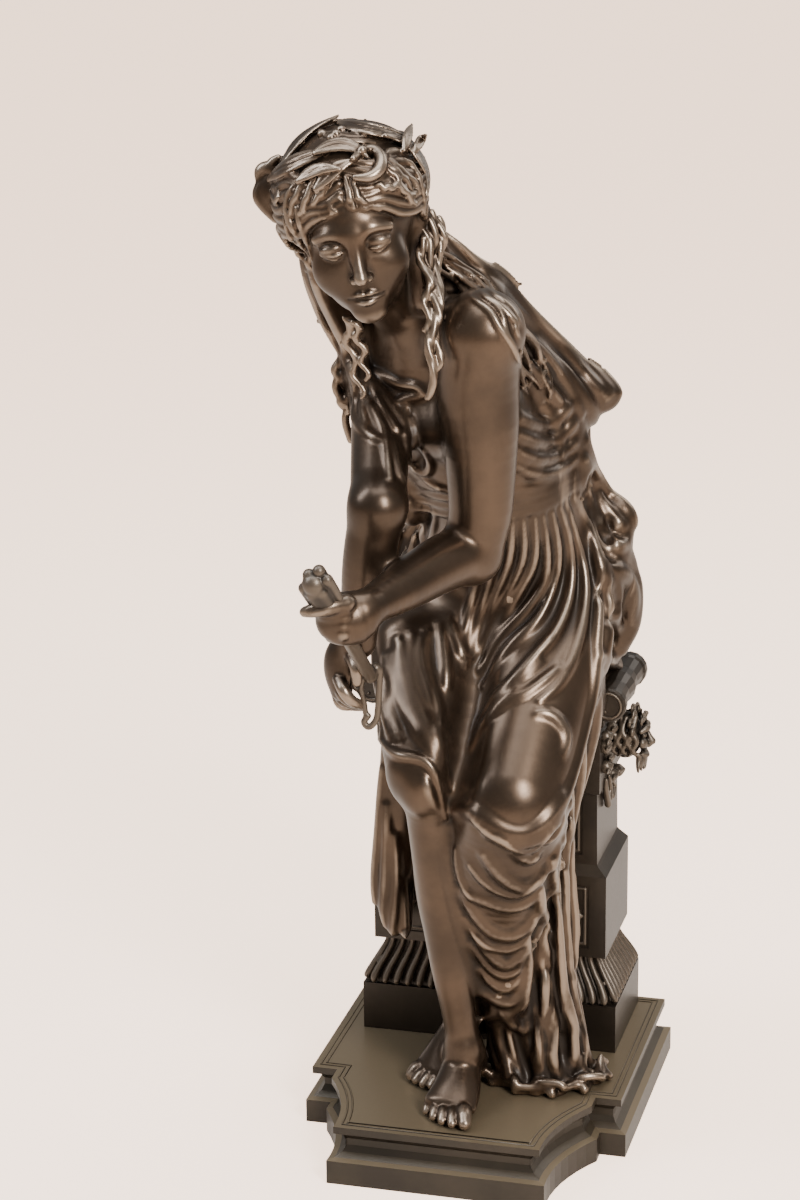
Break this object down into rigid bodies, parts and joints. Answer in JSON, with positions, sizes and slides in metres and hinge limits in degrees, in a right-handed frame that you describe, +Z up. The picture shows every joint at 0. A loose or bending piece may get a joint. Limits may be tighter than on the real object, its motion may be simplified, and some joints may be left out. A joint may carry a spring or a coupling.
{
  "type": "statue with plinth",
  "caption": "Dark bronze statue of a wreathed, draped woman half seated against a moulded altar, with a rod in her hands, on a stepped plinth with coved front corners.",
  "frame": {"origin": "middle of the plinth's underside", "axes": "+Z up, +X to the right along the plinth's front as seen from the front, +Y to the back"},
  "size_m": [0.236, 0.3682, 0.744],
  "materials": {
    "plinth": "olive-brown bronze patina, satin",
    "altar": "dark brown bronze patina, satin",
    "figure": "brown bronze patina with rubbed coppery edges, satin",
    "rod": "dark brown bronze patina, satin",
    "ornament": "dark brown bronze patina, rubbed on the relief"
  },
  "bodies": {
    "root": {"plinth": "plinth", "altar": "altar", "figure": "figure", "rod": "rod", "mask_and_garland": "ornament"}
  },
  "joints": []
}
